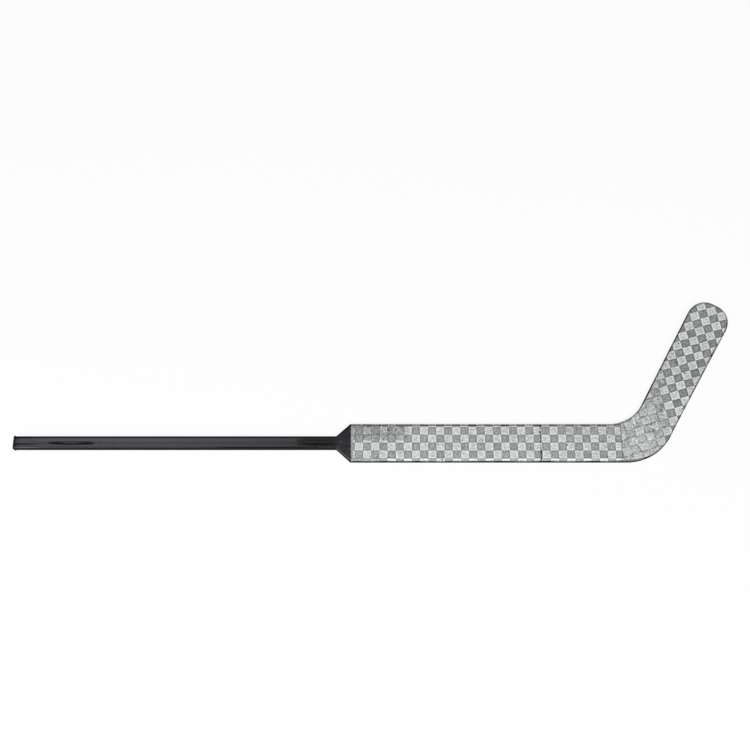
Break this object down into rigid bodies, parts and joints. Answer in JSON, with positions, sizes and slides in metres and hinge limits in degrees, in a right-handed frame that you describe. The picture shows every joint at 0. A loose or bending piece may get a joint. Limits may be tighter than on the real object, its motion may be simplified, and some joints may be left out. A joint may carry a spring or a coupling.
{
  "type": "ice hockey stick",
  "caption": "Goalkeeper's ice hockey stick with a straight black shaft, flared shoulder, wide chequered paddle and an angled, slightly curved blade; the end plug pulls out.",
  "frame": {"origin": "on the flat back of the paddle, on its centre line, midway between the shoulder and the heel seam", "axes": "+X from the butt end of the shaft towards the heel, +Y towards the side that the blade's toe points to, +Z out of the front face; the stick lies on its back on z = 0"},
  "size_m": [1.6302, 0.3797, 0.0237],
  "materials": {
    "plug_rubber": "matte black rubber",
    "shaft_lacquer": "gloss black lacquer on a fibre composite tube",
    "weave": "silver-grey flat-tow chequered composite weave, satin",
    "blade_weave": "silver-grey flat-tow chequered composite weave laid on the bias, satin",
    "edge_strip": "dark resin and fibre edge",
    "web": "fibre composite web",
    "foam": "rigid foam",
    "hardwood": "plain hardwood"
  },
  "bodies": {
    "stick": {"shaft_tube": "shaft_lacquer", "throat_tenon": "hardwood", "paddle_front_skin_upper": "weave", "paddle_front_skin_lower": "weave", "paddle_back_skin_upper": "weave", "paddle_back_skin_lower": "weave", "paddle_top_band": "edge_strip", "paddle_bottom_band": "edge_strip", "paddle_top_rib": "web", "paddle_bottom_rib": "web", "paddle_top_core": "foam", "paddle_middle_core": "foam", "paddle_bottom_core": "foam", "heel_block": "hardwood", "blade_front_skin": "blade_weave", "blade_back_skin": "blade_weave", "blade_edge_band": "edge_strip", "blade_rib": "web", "blade_upper_core": "foam", "blade_lower_core": "foam", "toe_block": "hardwood"},
    "end_plug": {"butt_plug": "plug_rubber"}
  },
  "joints": [
    {"name": "plug_pull", "type": "slide", "parent": "stick", "child": "end_plug", "axis": [-1, 0, 0], "range_m": [0, 0.05]}
  ]
}
